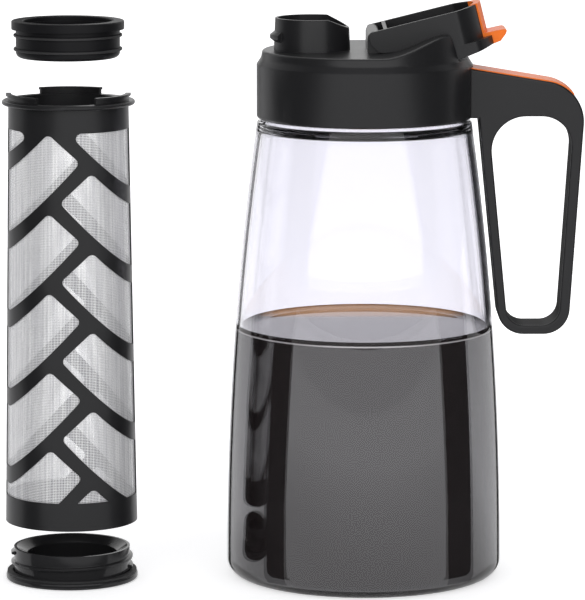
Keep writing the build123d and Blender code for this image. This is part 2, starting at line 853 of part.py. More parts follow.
# ---- Handle strip: the orange inlay along the top of the handle ----------------------------------
with BuildPart() as handle_strip:
    with BuildSketch(Plane.XZ) as strip_side:
        offset(handle_outline(), amount=strip_raise, kind=Kind.ARC)
        offset(handle_outline(), amount=-strip_recess, kind=Kind.ARC, mode=Mode.SUBTRACT)
    extrude(amount=handle_depth / 2 - strip_inset, both=True)
    with BuildSketch(Plane.XZ):
        with BuildLine():
            bend_x = handle_corner_x - handle_corner_round
            bend_height = handle_corner_height - 0.75 * handle_corner_round
            reach = 3 * handle_corner_round
            turn = radians(90 - strip_end_turn)
            Polyline(
                (handle_root_x, handle_root_top - strip_cut_fall),
                (bend_x - strip_end_flat, bend_height),
                (bend_x, bend_height),
                (bend_x + reach * cos(turn), bend_height + reach * sin(turn)),
                (handle_root_x, bend_height + reach),
                close=True,
            )
        make_face()
    extrude(amount=handle_depth, both=True, mode=Mode.INTERSECT)
    with BuildSketch(Plane.XY.offset(handle_bottom)):
        Circle(collar_radius)
    extrude(amount=spout_top - handle_bottom, mode=Mode.SUBTRACT)
handle_strip.part.label = "handle_strip"
export_step(handle_strip.part, "parts/handle_strip.step")

# ---- Handle --------------------------------------------------------------------------------------
with BuildPart() as handle:
    with BuildSketch(Plane.XZ):
        add(handle_outline())
        with BuildSketch(Plane.XZ, mode=Mode.SUBTRACT) as grip:
            with BuildLine():
                Polyline(
                    (grip_left_top_x, grip_top),
                    (grip_right_top_x, grip_top),
                    (grip_right_bottom_x, grip_bottom),
                    (grip_left_bottom_x, grip_bottom),
                    close=True,
                )
            make_face()
            fillet(grip.vertices().group_by(Axis.Y)[0], grip_foot_round)
            fillet(grip.vertices().group_by(Axis.Y)[-1].sort_by(Axis.X)[0], grip_left_round)
            fillet(grip.vertices().group_by(Axis.Y)[-1].sort_by(Axis.X)[-1], grip_right_round)
    extrude(amount=handle_depth / 2, both=True)
    sides = handle.faces().filter_by(Axis.Y)
    fillet(sides.edges(), handle_edge)
    with BuildSketch(Plane.XY.offset(handle_bottom)):
        Circle(collar_radius)
    extrude(amount=spout_top - handle_bottom, mode=Mode.SUBTRACT)
    add(handle_strip.part, mode=Mode.SUBTRACT)
    for height in screw_heights:
        add(screw_shape(height), mode=Mode.SUBTRACT)
handle.part.label = "handle"
export_step(handle.part, "parts/handle.step")

# ---- Handle screws: driven from inside the collar -------------------------------------------------
with BuildPart() as handle_screws:
    for height in screw_heights:
        add(screw_shape(height))
handle_screws.part.label = "handle_screws"
export_step(handle_screws.part, "parts/handle_screws.step")

# ---- Filter: shared placing --------------------------------------------------------------------
filter_front = Plane(origin=(filter_x, filter_y, 0), x_dir=(1, 0, 0), z_dir=(0, -1, 0))
filter_axis = Axis((filter_x, filter_y, 0), (0, 0, 1))
filter_place = Location((filter_x, filter_y, 0))
bore_top = tube_bottom + cap_top - cap_flange_thickness - cap_seal_thickness + running_gap / 2
mesh_top = top_band_bottom + mesh_overlap
window_reach = 2.4 * tube_bottom_radius


def window(height, side):
    """One slanted window's outline, seen from the front: side is -1 for the left column."""
    middle = window_middle_x
    inner = (middle - side * window_inner_x, height)
    peak = (middle - side * window_peak_x, height + window_peak_rise)
    upper = (middle - side * window_side_x, height - window_upper_fall)
    lower = (middle - side * window_side_x, height - window_lower_fall)
    beyond = side * window_reach / 2
    with BuildSketch(filter_front) as shape:
        with BuildLine():
            Line(inner, peak)
            SagittaArc(peak, upper, -side * window_bow / 2)
            Line(upper, (beyond, upper[1]))
            Line((beyond, upper[1]), (beyond, lower[1]))
            Line((beyond, lower[1]), lower)
            SagittaArc(lower, inner, side * window_bow)
        make_face()
        with Locations((0, (top_band_bottom + bottom_band_top) / 2)):
            Rectangle(window_reach, top_band_bottom - bottom_band_top, mode=Mode.INTERSECT)
        corners = shape.vertices().filter_by_position(Axis.X, -top_bore, top_bore)
        fillet(corners.filter_by_position(Axis.Y, bottom_band_top + 0.1, tube_top), window_round)
    return shape.sketch_local


# ---- Window cuts: every window right through the tube, kept clear of the two side ribs ----------
with BuildPart() as window_cuts:
    with BuildSketch(filter_front):
        for row in range(-1, window_rows):
            left_height = window_first_height - row * window_pitch
            add(window(left_height, -1))
            add(window(left_height - window_pitch / 2, 1))
    extrude(amount=tube_bottom_radius * 1.2, both=True)
    with BuildSketch(Plane(origin=(filter_x, filter_y, 0))):
        Rectangle(window_reach, 2 * side_rib_half)
    extrude(amount=tube_top, mode=Mode.SUBTRACT)

# ---- Filter frame: a moulded tube with herringbone windows ---------------------------------------
with BuildPart() as filter_frame:
    with BuildSketch(filter_front):
        with BuildLine():
            Polyline(
                (bottom_bore, tube_bottom),
                (tube_bottom_radius, tube_bottom),
                (tube_radius(tube_top - flange_thickness), tube_top - flange_thickness),
                (flange_radius, tube_top - flange_thickness),
                (flange_radius, tube_top),
                (top_bore, tube_top),
                (top_bore, mesh_top),
                (tube_radius(mesh_top) - frame_wall, mesh_top),
                (tube_radius(bore_top) - frame_wall, bore_top),
                (bottom_bore, bore_top),
                close=True,
            )
        make_face()
    revolve(axis=filter_axis)
    flange_rims = filter_frame.edges().filter_by(GeomType.CIRCLE).sort_by(Edge.length)[-2:]
    fillet(flange_rims, flange_round)
    add(window_cuts.part, mode=Mode.SUBTRACT)
    for tab in range(tab_count):
        start = radians(tab_first_azimuth + tab * 360 / tab_count - tab_span / 2)
        tab_plane = Plane(
            origin=(filter_x, filter_y, tube_top),
            x_dir=(cos(start), sin(start), 0),
            z_dir=(sin(start), -cos(start), 0),
        )
        with BuildSketch(tab_plane):
            with BuildLine():
                tab_inner = top_cap_rim_radius + running_gap
                Polyline(
                    (tab_inner, 0),
                    (tab_wall_outer, 0),
                    (tab_wall_outer, tab_height - tab_lip_thickness),
                    (tab_lip_outer, tab_height - tab_lip_thickness),
                    (tab_lip_outer, tab_height),
                    (tab_inner, tab_height),
                    close=True,
                )
            make_face()
        revolve(axis=filter_axis, revolution_arc=tab_span)
    tube_ridge_zero = cap_ridge_height + cap_pitch / 2
    tube_ridge_first = (tube_ridge_first_height - tube_ridge_zero) / cap_pitch * 360
    tube_ridge = ridge(
        bottom_bore, -tube_ridge_depth, cap_ridge_root, cap_ridge_crest, cap_pitch,
        tube_ridge_first, 360 * tube_ridge_turns, tube_ridge_zero,
    )
    add(tube_ridge.moved(filter_place))
filter_frame.part.label = "filter_frame"
export_step(filter_frame.part, "parts/filter_frame.step")

# ---- Filter mesh: the fine steel sleeve inside the frame -----------------------------------------
with BuildPart() as filter_mesh:
    with BuildSketch(filter_front):
        with BuildLine():
            low_outer = tube_radius(bore_top) - frame_wall
            high_outer = tube_radius(mesh_top) - frame_wall
            Polyline(
                (low_outer, bore_top),
                (high_outer, mesh_top),
                (high_outer - mesh_thickness, mesh_top),
                (low_outer - mesh_thickness, bore_top),
                close=True,
            )
        make_face()
    revolve(axis=filter_axis)
filter_mesh.part.label = "filter_mesh"
export_step(filter_mesh.part, "parts/filter_mesh.step")

# ---- Filter top cap: a push-in plug with two lip seals -------------------------------------------
with BuildPart() as top_cap:
    with BuildSketch(filter_front):
        with BuildLine():
            Polyline(
                (0, top_cap_bottom),
                (top_cap_radius, top_cap_bottom),
                (top_cap_radius, top_cap_rim_height),
                (top_cap_rim_radius, top_cap_rim_height),
                (top_cap_rim_radius, top_cap_top),
                (top_cap_step_radius, top_cap_top),
                (top_cap_step_radius, top_cap_top - top_cap_step_depth),
                (top_cap_recess_radius, top_cap_top - top_cap_step_depth),
                (top_cap_recess_radius, top_cap_bottom + top_cap_floor),
                (0, top_cap_bottom + top_cap_floor),
                close=True,
            )
        make_face()
    revolve(axis=filter_axis)
    fillet(top_cap.edges().group_by(Axis.Z)[0], top_cap_corner)
    fillet(top_cap.edges().group_by(Axis.Z)[-1], top_cap_edge)
    for height in lip_heights:
        with BuildSketch(Plane(origin=(filter_x, filter_y, height - lip_thickness / 2))):
            Circle(top_cap_rim_radius)
            Circle(top_cap_radius - lip_seat, mode=Mode.SUBTRACT)
        extrude(amount=lip_thickness, mode=Mode.SUBTRACT)
top_cap.part.label = "top_cap"
export_step(top_cap.part, "parts/top_cap.step")

for lip_name, height in zip(("lower", "upper"), lip_heights):
    with BuildPart() as top_cap_seal:
        with BuildSketch(Plane(origin=(filter_x, filter_y, height - lip_thickness / 2))):
            Circle(lip_radius)
            Circle(top_cap_radius - lip_seat, mode=Mode.SUBTRACT)
        extrude(amount=lip_thickness)
        fillet(top_cap_seal.edges().filter_by(GeomType.CIRCLE).sort_by(Edge.length)[-2:], lip_edge)
    top_cap_seal.part.label = "top_cap_seal_" + lip_name
    export_step(top_cap_seal.part, "parts/top_cap_seal_" + lip_name + ".step")

# ---- Filter bottom cap: a threaded cup ------------------------------------------------------------
with BuildPart() as bottom_cap:
    with BuildSketch(filter_front):
        with BuildLine():
            Polyline(
                (0, 0),
                (cap_flange_radius, 0),
                (cap_flange_radius, cap_flange_thickness),
                (cap_radius, cap_flange_thickness),
                (cap_radius, cap_top),
                (cap_radius - cap_rim_wall, cap_top),
                (cap_cone_radius, cap_cone_height),
                (cap_cone_radius, cap_floor),
                (0, cap_floor),
                close=True,
            )
        make_face()
    revolve(axis=filter_axis)
    fillet(bottom_cap.edges().filter_by(GeomType.CIRCLE).sort_by(Edge.length)[-2:], cap_flange_edge)
    cap_ridge = ridge(
        cap_radius, cap_ridge_depth, cap_ridge_root, cap_ridge_crest, cap_pitch,
        cap_ridge_first, cap_ridge_last - cap_ridge_first, cap_ridge_height,
    )
    add(cap_ridge.moved(filter_place))
bottom_cap.part.label = "bottom_cap"
export_step(bottom_cap.part, "parts/bottom_cap.step")

# ---- Bottom cap seal: a flat ring on the cap's flange ---------------------------------------------
with BuildPart() as bottom_cap_seal:
    with BuildSketch(Plane(origin=(filter_x, filter_y, cap_flange_thickness))):
        Circle(cap_seal_outer)
        Circle(cap_seal_inner, mode=Mode.SUBTRACT)
    extrude(amount=cap_seal_thickness)
bottom_cap_seal.part.label = "bottom_cap_seal"
export_step(bottom_cap_seal.part, "parts/bottom_cap_seal.step")
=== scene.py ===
from math import cos, radians, sin

import bpy
import numpy as np
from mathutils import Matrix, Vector


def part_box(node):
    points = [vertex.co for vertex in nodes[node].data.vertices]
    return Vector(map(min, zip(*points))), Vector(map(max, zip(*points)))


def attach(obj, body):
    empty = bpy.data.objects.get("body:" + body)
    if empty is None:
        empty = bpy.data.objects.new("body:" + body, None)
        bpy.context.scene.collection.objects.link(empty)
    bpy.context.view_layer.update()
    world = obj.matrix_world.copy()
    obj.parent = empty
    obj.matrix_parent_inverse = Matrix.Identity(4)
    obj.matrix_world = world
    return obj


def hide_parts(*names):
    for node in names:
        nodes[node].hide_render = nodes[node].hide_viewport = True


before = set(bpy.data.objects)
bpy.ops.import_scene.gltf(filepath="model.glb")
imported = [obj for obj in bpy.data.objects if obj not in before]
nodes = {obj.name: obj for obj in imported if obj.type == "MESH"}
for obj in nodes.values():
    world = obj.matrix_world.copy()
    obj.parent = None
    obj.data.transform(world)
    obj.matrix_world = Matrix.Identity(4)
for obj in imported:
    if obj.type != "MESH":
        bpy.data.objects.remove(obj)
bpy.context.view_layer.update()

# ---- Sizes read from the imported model, in metres -------------------------------------------------
carafe_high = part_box("carafe")[1]
coffee_low, coffee_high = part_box("coffee")
tube_low, tube_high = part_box("filter_frame")
sleeve_low, sleeve_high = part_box("filter_mesh")
base_radius = carafe_high.x
neck_top = carafe_high.z
coffee_level = coffee_high.z
glass_floor = coffee_low.z
filter_x = (tube_low.x + tube_high.x) / 2
filter_y = (tube_low.y + tube_high.y) / 2

# ---- Sizes that the carafe's solid also has ------------------------------------------------------
base_corner = 0.007
belly_radius = 0.057
belly_height = 0.1055
shoulder_radius = 0.047
shoulder_height = 0.2008
shoulder_round = 0.0032
shoulder_top = 0.2026
glass_wall = 0.0024
neck_radius = 0.042
neck_bore = 0.0386
neck_lip = 0.001
thread_depth = 0.0016
thread_lead = 0.012
thread_height = 0.213

# ---- Sizes that the filter's solids also have ----------------------------------------------------
sleeve_low_radius = 0.02895
sleeve_high_radius = 0.02615
sleeve_foot = 0.0262
sleeve_length = 0.1857


# ---- Objects and the camera ----------------------------------------------------------------------
def add_object(name, data):
    """A new object of the scene, with a mesh, a lamp or a camera as its data."""
    holder = bpy.data.objects.new(name, data)
    bpy.context.scene.collection.objects.link(holder)
    return holder


def face(holder, way):
    """Turns a lamp or a camera to look along a direction, with its top up."""
    holder.rotation_mode = "QUATERNION"
    holder.rotation_quaternion = way.to_track_quat("-Z", "Y")


def place_camera():
    """A long lens that looks slightly down on the carafe and its filter.

    It looks at the target from target + distance x (sin a cos e, -cos a cos e, sin e), where a is
    its azimuth and e its elevation.
    """
    sensor_width, focal_length = 36.0, 258.9
    elevation, azimuth, distance = radians(8.9), radians(-0.5), 1.9
    target = Vector((-0.0315, 0.0, 0.122))
    nearest, furthest = 0.05, 40.0
    lens = bpy.data.cameras.new("studio_camera")
    lens.sensor_width, lens.lens = sensor_width, focal_length
    lens.clip_start, lens.clip_end = nearest, furthest
    camera = add_object("studio_camera", lens)
    back = Vector((
        sin(azimuth) * cos(elevation), -cos(azimuth) * cos(elevation), sin(elevation)
    ))
    camera.location = target + back * distance
    face(camera, -back)
    bpy.context.scene.camera = camera


# ---- Mesh making ---------------------------------------------------------------------------------
def grid_mesh(name, points, wrap_u=False, wrap_v=False, flip=False):
    """A smooth mesh over a grid of points: rows run along v, columns along u.

    points has the shape (rows, columns, 3). wrap_u joins the last column to the first and wrap_v
    the last row to the first. Points that are equal to 0.1 micrometre, as at a pole, are merged,
    and a face with two equal corners becomes a triangle.
    """
    merge_digits = 7
    rows, columns = points.shape[:2]
    v = np.arange(rows if wrap_v else rows - 1)
    u = np.arange(columns if wrap_u else columns - 1)
    v, u = np.meshgrid(v, u, indexing="ij")
    v_next, u_next = (v + 1) % rows, (u + 1) % columns
    corners = (
        v * columns + u, v * columns + u_next, v_next * columns + u_next, v_next * columns + u
    )
    faces = np.stack(corners, axis=-1).reshape(-1, 4)
    if flip:
        faces = faces[:, ::-1]
    flat = points.reshape(-1, 3)
    merged, place = np.unique(np.round(flat, merge_digits), axis=0, return_inverse=True)
    faces = place.reshape(-1)[faces]
    whole = np.all(faces != np.roll(faces, 1, axis=1), axis=1)
    kept = [list(quad) for quad in faces[whole]]
    kept += [list(dict.fromkeys(quad)) for quad in faces[~whole] if len(set(quad)) == 3]
    mesh = bpy.data.meshes.new(name)
    mesh.from_pydata(merged.tolist(), [], kept)
    mesh.polygons.foreach_set("use_smooth", np.ones(len(mesh.polygons), bool))
    return add_object(name, mesh)


def turned(profile, segments, centre=(0.0, 0.0), swell=None):
    """The profile (radius, height) turned about the upright axis at centre.

    x = centre x + r cos(a), y = centre y + r sin(a), z = height, where r is the profile's radius
    plus swell(a, height, radius).
    """
    angle = np.linspace(0, 2 * np.pi, segments, endpoint=False)[None, :]
    radius, height = profile[:, :1], profile[:, 1:2]
    if swell is not None:
        radius = radius + swell(angle, height, radius)
    radius, height, angle = np.broadcast_arrays(radius, height, angle)
    return np.stack([
        centre[0] + radius * np.cos(angle), centre[1] + radius * np.sin(angle), height
    ], axis=-1)


def arc_through(start, middle, end, count):
    """Points of the circle through three points, evenly spaced in angle from start to end.

    The circle's centre is as far from start as from middle and from end, and each point is
    centre + radius x (cos(angle), sin(angle)).
    """
    a, b, c = (np.array(p, float) for p in (start, middle, end))
    sides = 2 * np.array([b - a, c - a])
    centre = np.linalg.solve(sides, [b @ b - a @ a, c @ c - a @ a])
    first, mid, last = (np.arctan2(*(p - centre)[::-1]) for p in (a, b, c))
    mid = first + (mid - first + np.pi) % (2 * np.pi) - np.pi
    last = mid + (last - mid + np.pi) % (2 * np.pi) - np.pi
    angle = np.linspace(first, last, count)
    reach = np.hypot(*(a - centre))
    return centre + reach * np.stack([np.cos(angle), np.sin(angle)], axis=1)


def eased(start, start_way, end, end_way, count):
    """A cubic curve from start to end that leaves and arrives along the two directions.

    (2t^3 - 3t^2 + 1) start + (t^3 - 2t^2 + t) start way + (3t^2 - 2t^3) end + (t^3 - t^2) end way.
    """
    t = np.linspace(0, 1, count)[:, None]
    start, start_way, end, end_way = (
        np.array(p, float) for p in (start, start_way, end, end_way)
    )
    return (
        (2 * t**3 - 3 * t**2 + 1) * start + (t**3 - 2 * t**2 + t) * start_way
        + (3 * t**2 - 2 * t**3) * end + (t**3 - t**2) * end_way
    )


def straight(start, end, count):
    """Evenly spaced points of a straight run: start x (1 - t) + end x t."""
    t = np.linspace(0, 1, count)[:, None]
    return np.array(start, float) * (1 - t) + np.array(end, float) * t


def chained(*runs):
    """Runs of points in one row, where each starts at the point at which the one before it ends."""
    return np.concatenate([*(run[:-1] for run in runs[:-1]), runs[-1]])


# ---- Node making ---------------------------------------------------------------------------------
def fed(tree, node, values):
    """Gives sockets of a node, by name or number, another node's output or a plain value."""
    for socket, value in values.items():
        if isinstance(value, bpy.types.NodeSocket):
            tree.links.new(value, node.inputs[socket])
        else:
            node.inputs[socket].default_value = value
    return node


def reckon(tree, operation, *values, clamp=False):
    """A sum, product or other operation on values, each an output or a number."""
    step = tree.nodes.new("ShaderNodeMath")
    step.operation = operation
    step.use_clamp = clamp
    return fed(tree, step, dict(enumerate(values))).outputs["Value"]


def ramp(tree, source, start, end, low=0.0, high=1.0, smooth=False):
    """low + (high - low) x t, where t = (source - start) / (end - start), held within 0 and 1.

    smooth makes t into t^2 (3 - 2t), which eases in and out.
    """
    remap = tree.nodes.new("ShaderNodeMapRange")
    if smooth:
        remap.interpolation_type = "SMOOTHSTEP"
    return fed(tree, remap, {
        "Value": source, "From Min": start, "From Max": end, "To Min": low, "To Max": high,
    }).outputs["Result"]


def two_tone(tree, share, first, second):
    """first x (1 - share) + second x share, each a colour or another node's output."""
    mix = tree.nodes.new("ShaderNodeMix")
    mix.data_type = "RGBA"
    first, second = (
        (*tone, 1) if isinstance(tone, tuple) else tone for tone in (first, second)
    )
    return fed(tree, mix, {"Factor": share, "A": first, "B": second}).outputs["Result"]


def coordinates(tree, kind):
    """Object, Normal or Generated coordinates."""
    return tree.nodes.new("ShaderNodeTexCoord").outputs[kind]


def along(tree, vector, axis):
    """A vector's X, Y or Z."""
    parts = tree.nodes.new("ShaderNodeSeparateXYZ")
    return fed(tree, parts, {"Vector": vector}).outputs[axis]


def stretched(tree, vector, scale, shift=(0.0, 0.0, 0.0)):
    """vector x scale + shift."""
    mapping = tree.nodes.new("ShaderNodeMapping")
    return fed(
        tree, mapping, {"Vector": vector, "Scale": scale, "Location": shift}
    ).outputs["Vector"]


def speckle(tree, scale, detail, rough=0.5, stretch=(1, 1, 1)):
    """Noise over the piece's own coordinates, with features about 1/scale metres across."""
    noise = tree.nodes.new("ShaderNodeTexNoise")
    return fed(tree, noise, {
        "Vector": stretched(tree, coordinates(tree, "Object"), stretch),
        "Scale": scale, "Detail": detail, "Roughness": rough,
    }).outputs["Fac"]


def embossed(tree, height, strength, **base):
    """The normal of a surface that stands out by up to 0.1 mm where height is 1."""
    relief = tree.nodes.new("ShaderNodeBump")
    return fed(tree, relief, {
        "Height": height, "Strength": strength, "Distance": 0.0001, **base,
    }).outputs["Normal"]


# ---- Finishes ------------------------------------------------------------------------------------
def new_finish(name):
    """A node material: returns (material, its node tree, its Principled shader)."""
    material = bpy.data.materials.new(name)
    material.use_nodes = True
    tree = material.node_tree
    return material, tree, tree.nodes["Principled BSDF"]


def moulded(name, dark, light, rough, grain=2400.0, bump=0.05, specular=0.5, metallic=0.0):
    """Moulded plastic or rubber, or turned steel.

    Its tone drifts between dark and light over some 35 mm, and its roughness between the two values
    of rough over some 4 mm. It has a fine grain, 1/grain metres across, and edges softened by
    0.4 mm.
    """
    flow_scale, haze_scale, edge_radius = 28.0, 260.0, 0.0004
    material, tree, shader = new_finish(name)
    soft_edge = tree.nodes.new("ShaderNodeBevel")
    soft_edge.samples = 4
    soft_edge.inputs["Radius"].default_value = edge_radius
    flow = speckle(tree, flow_scale, 3.0)
    haze = speckle(tree, haze_scale, 4.0, 0.6)
    grains = speckle(tree, grain, 1.0)
    fed(tree, shader, {
        "Base Color": two_tone(tree, flow, dark, light),
        "Roughness": ramp(tree, haze, 0.0, 1.0, *rough),
        "Normal": embossed(tree, grains, bump, Normal=soft_edge.outputs["Normal"]),
        "Specular IOR Level": specular,
        "Metallic": metallic,
    })
    return material


def dull_when_grazed(material):
    """Lets a finish turn from its own gloss to fully rough where a face is seen edge-on.

    Its roughness is the greater of its own and a ramp from 0 to 1 over the facing weight.
    """
    gloss_ends, all_dull = 0.7, 0.88
    tree = material.node_tree
    weight = fed(tree, tree.nodes.new("ShaderNodeLayerWeight"), {"Blend": 0.5})
    grazed = ramp(tree, weight.outputs["Facing"], gloss_ends, all_dull)
    roughness = tree.nodes["Principled BSDF"].inputs["Roughness"]
    own = roughness.links[0].from_socket
    tree.links.new(reckon(tree, "MAXIMUM", own, grazed), roughness)
    return material


def carafe_glass_finish():
    """Clear thick glass with the faint lavender cast of soda-lime ware."""
    lavender, paler, haze_scale = (0.85, 0.845, 0.89), (0.865, 0.86, 0.9), 40.0
    material, tree, shader = new_finish("clear_glass")
    fed(tree, shader, {
        "Base Color": two_tone(tree, speckle(tree, haze_scale, 2.0), lavender, paler),
        "Transmission Weight": 1.0,
        "Roughness": 0.0,
        "IOR": 1.47,
    })
    return material


def coffee_finish():
    """Black coffee with a painted highlight, a thin light line near the top of its side, and painted
    light in brown on its far rim.

    The line is full within 0.2 mm of its height and gone at 0.4 mm. The painted light is a ramp over
    y from 22 to 38 mm times a ramp over the normal's z from 0.4 to 0.9, so only the surface has it.
    """
    black, painted_highlight_tone, painted_glow_brown = (0.016, 0.0125, 0.0125), (0.5, 0.48, 0.48), (0.62, 0.33, 0.15)
    line_height, line_full, line_gone = coffee_level - 0.0021, 0.0002, 0.0004
    glow_starts, glow_full = 0.022, 0.038
    side_ends, surface_starts = 0.4, 0.9
    material, tree, shader = new_finish("cold_brew")
    place = coordinates(tree, "Object")
    off = reckon(
        tree, "ABSOLUTE", reckon(tree, "SUBTRACT", along(tree, place, "Z"), line_height)
    )
    # Painted highlight: a thin light band at the waterline of the black coffee.
    line = ramp(tree, off, line_gone, line_full)
    # Painted light: brown on the far rim of the surface, standing in for light through the brew
    # there.
    far = ramp(tree, along(tree, place, "Y"), glow_starts, glow_full, smooth=True)
    upwards = along(tree, coordinates(tree, "Normal"), "Z")
    painted_glow = reckon(tree, "MULTIPLY", far, ramp(tree, upwards, side_ends, surface_starts))
    body = two_tone(tree, line, black, painted_highlight_tone)
    fed(tree, shader, {
        "Base Color": two_tone(tree, painted_glow, body, painted_glow_brown),
        "Roughness": 0.0,
        "IOR": 2.0,
    })
    return material


def steel_mesh_finish():
    """Fine woven steel: bright wires in a square weave, with holes between them.

    A wire's height is the greater of (1 + sin(2 pi u)) / 2 and (1 + sin(2 pi v)) / 2, and the weave
    turns from mostly open to solid as it grows from 0.55 to 1. Upright streaks of painted sheen
    lighten its colour from grey to white, and the same streaks vary its roughness.
    """
    hole_edge, hole_cover, wire_relief = 0.55, 0.1, 0.3
    streak_scale, streak_stretch, painted_sheen_range = 1000.0, (1, 1, 0.012), (0.38, 0.62)
    grey, white, rough = (0.76, 0.76, 0.78), (1.0, 1.0, 1.0), (0.5, 0.3)
    material, tree, shader = new_finish("woven_steel")
    weave = tree.nodes.new("ShaderNodeUVMap")
    weave.uv_map = "weave"
    wires = (along(tree, weave.outputs["UV"], axis) for axis in ("X", "Y"))
    turns = (reckon(tree, "MULTIPLY", count, 2 * np.pi) for count in wires)
    across, upright = (ramp(tree, reckon(tree, "SINE", turn), -1.0, 1.0) for turn in turns)
    wire = reckon(tree, "MAXIMUM", across, upright)
    # Painted sheen: upright streaks lighten the steel's colour from grey to white; they also vary its
    # roughness.
    painted_sheen_streak = speckle(tree, streak_scale, 2.0, 0.6, streak_stretch)
    fed(tree, shader, {
        "Base Color": two_tone(tree, ramp(tree, painted_sheen_streak, *painted_sheen_range), grey, white),
        "Roughness": ramp(tree, painted_sheen_streak, 0.0, 1.0, *rough),
        "Alpha": ramp(tree, wire, hole_edge, 1.0, hole_cover, 1.0),
        "Normal": embossed(tree, wire, wire_relief),
        "Metallic": 0.25,
    })
    return material


def dress(material, *names):
    """Gives CAD nodes that keep their shape a finish."""
    for name in names:
        nodes[name].data.materials.clear()
        nodes[name].data.materials.append(material)


satin_black = moulded(
    "satin_black_plastic", (0.0125, 0.0125, 0.0135), (0.0155, 0.0155, 0.0165), (0.27, 0.35),
    specular=0.32,
)
grip_black = dull_when_grazed(moulded(
    "grip_black_plastic", (0.0145, 0.0145, 0.0155), (0.0175, 0.0175, 0.0185), (0.27, 0.35),
    specular=0.32,
))
soft_black = moulded(
    "soft_black_plastic", (0.0085, 0.0085, 0.0095), (0.011, 0.011, 0.012), (0.36, 0.44),
    specular=0.11,
)
gloss_black = moulded(
    "gloss_black_plastic", (0.020, 0.020, 0.021), (0.024, 0.024, 0.025), (0.1, 0.17),
    bump=0.01, specular=0.3,
)
bright_orange = moulded(
    "orange_plastic", (0.92, 0.175, 0.008), (0.96, 0.195, 0.012), (0.3, 0.38), specular=0.3
)
seal_rubber = moulded(
    "seal_rubber", (0.016, 0.016, 0.017), (0.022, 0.022, 0.023), (0.55, 0.68), grain=1500.0
)
clear_rubber = moulded(
    "clear_silicone", (0.62, 0.62, 0.61), (0.70, 0.70, 0.69), (0.45, 0.55), grain=1500.0
)
pin_steel = moulded(
    "pin_steel", (0.55, 0.55, 0.56), (0.65, 0.65, 0.66), (0.22, 0.3), bump=0.02, metallic=1.0
)
clear_glass = carafe_glass_finish()
cold_brew = coffee_finish()
woven_steel = steel_mesh_finish()

dress(satin_black, "collar", "lid_top", "bayonet_ring", "flap", "filter_frame")
dress(grip_black, "handle")
dress(soft_black, "top_cap")
dress(gloss_black, "bottom_cap")
dress(bright_orange, "flap_latch", "handle_strip")
dress(seal_rubber, "top_cap_seal_lower", "top_cap_seal_upper", "bottom_cap_seal")
dress(clear_rubber, "lid_gasket", "flap_seal")
dress(pin_steel, "flap_pin", "handle_screws")


# ---- Carafe glass --------------------------------------------------------------------------------
# How far the middle of a quarter round lies from each of the two lines that it joins, in radii.
round_middle = 1 - 1 / np.sqrt(2)


def outer_side():
    """The carafe's outside from the base's middle to the foot of the neck, as (radius, height).

    Flat, a quarter round at the base's edge, one arc through the belly to the shoulder, a cubic
    round the shoulder, and flat again in to the neck.
    """
    foot, edge = (base_radius - base_corner, 0), (base_radius, base_corner)
    corner = base_corner * round_middle
    shoulder, up_the_side = (shoulder_radius, shoulder_height), (-0.0003, 0.003)
    ledge, inwards = (shoulder_radius - shoulder_round, shoulder_top), (-0.004, 0)
    return chained(
        straight((0, 0), foot, 8),
        arc_through(foot, (base_radius - corner, corner), edge, 16),
        arc_through(edge, (belly_radius, belly_height), shoulder, 60),
        eased(shoulder, up_the_side, ledge, inwards, 12),
        straight(ledge, (neck_radius, shoulder_top), 4),
    )


def inner_side(inset):
    """The carafe's inside from the foot of the neck's bore down to the floor's middle.

    A cubic under the shoulder, one arc through the belly, a quarter round at the floor's edge, and
    flat. inset moves the wall inwards, or outwards into the glass where it is negative.
    """
    inner_corner = base_corner - glass_wall
    corner = inner_corner * round_middle
    wall = base_radius - glass_wall - inset
    floor = glass_floor + inset
    down_the_bore, down_the_side, shoulder_drop = (0, -0.004), (0.001, -0.006), 1.6 * glass_wall
    shoulder = (shoulder_radius - glass_wall - inset, shoulder_height - shoulder_drop)
    belly = (belly_radius - glass_wall - inset, belly_height)
    edge, foot = (wall, floor + inner_corner), (wall - inner_corner, floor)
    return chained(
        eased((neck_bore, shoulder_top), down_the_bore, shoulder, down_the_side, 14),
        arc_through(shoulder, belly, edge, 70),
        arc_through(edge, (wall - corner, floor + corner), foot, 14),
        straight(foot, (0, floor), 8),
    )


def thread_swell(angle, height, radius):
    """Three-start thread: a ridge rises where the height matches the helix at that angle.

    The helix is thread_height + thread_lead x (angle - 40) / 360, with the angle in degrees. The
    ridge is thread_depth high, 1.2 mm wide at its crest and 2 mm at its root; it runs from 40 to
    130 degrees and again after each third of a turn, and fades out over 4 degrees at both ends.
    """
    first, last, fade = 40.0, 130.0, 4.0
    third_turn, between_ridges = 120.0, 20.0
    half_root, flank, neck_foot, tolerance = 0.001, 0.0004, 0.0004, 0.0001
    third = np.degrees(angle) % third_turn
    way = np.where(third < between_ridges, third + third_turn, third)
    off = np.abs(height - (thread_height + thread_lead * (way - first) / 360.0))
    ridge = np.clip((half_root - off) / flank, 0, 1)
    ends = np.clip((way - first) / fade, 0, 1) * np.clip((last - way) / fade, 0, 1)
    on_neck = (radius > neck_radius - tolerance) & (height > shoulder_top + neck_foot)
    return thread_depth * ridge * ends * on_neck


